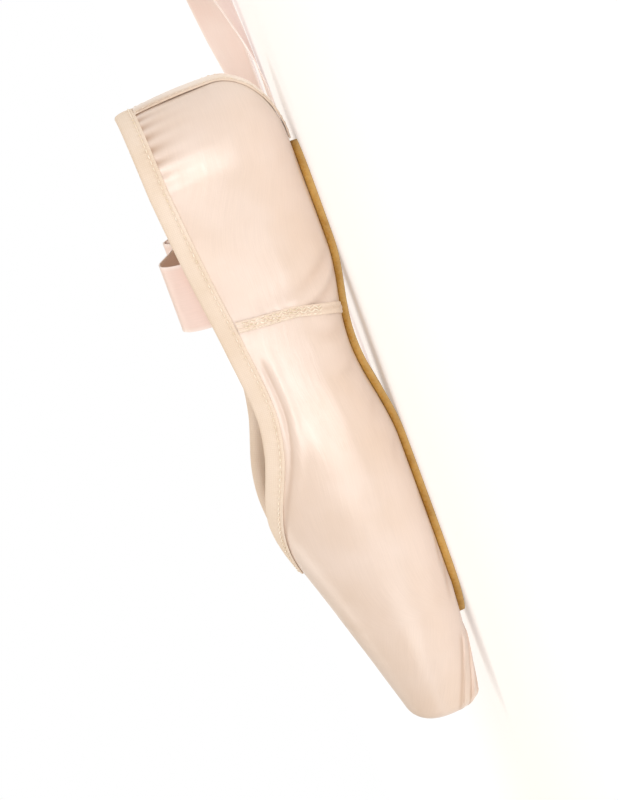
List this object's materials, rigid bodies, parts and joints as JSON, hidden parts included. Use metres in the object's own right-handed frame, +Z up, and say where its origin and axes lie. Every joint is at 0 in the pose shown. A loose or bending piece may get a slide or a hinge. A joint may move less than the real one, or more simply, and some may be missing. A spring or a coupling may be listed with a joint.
{
  "type": "pointe shoe",
  "caption": "Satin pointe shoe on a straight last, with a stiff box, flat platform, V throat, bound collar, leather outsole and loose ribbons.",
  "frame": {"origin": "on the floor under the middle of the shoe's own box, measured without the ribbons", "axes": "+X to the toe, +Y to the left side, +Z up"},
  "size_m": [0.2639, 0.2006, 0.0595],
  "materials": {
    "sole_leather": "golden tan split leather, scored under the forefoot, matte",
    "insole_board": "cotton drill over board, matte",
    "satin": "ivory peach satin with a soft sheen",
    "binding_tape": "folded cotton tape, matte, stitched",
    "strip_satin": "folded satin strip, stitched along its edges",
    "ribbon_satin": "pale pink satin ribbon with woven edges"
  },
  "bodies": {
    "root": {"outsole": "sole_leather", "insole": "insole_board", "upper": "satin", "collar_binding": "binding_tape", "backstay": "strip_satin", "side_seam_left": "strip_satin", "side_seam_right": "strip_satin", "ribbon_left": "ribbon_satin", "ribbon_right": "ribbon_satin"}
  },
  "joints": []
}
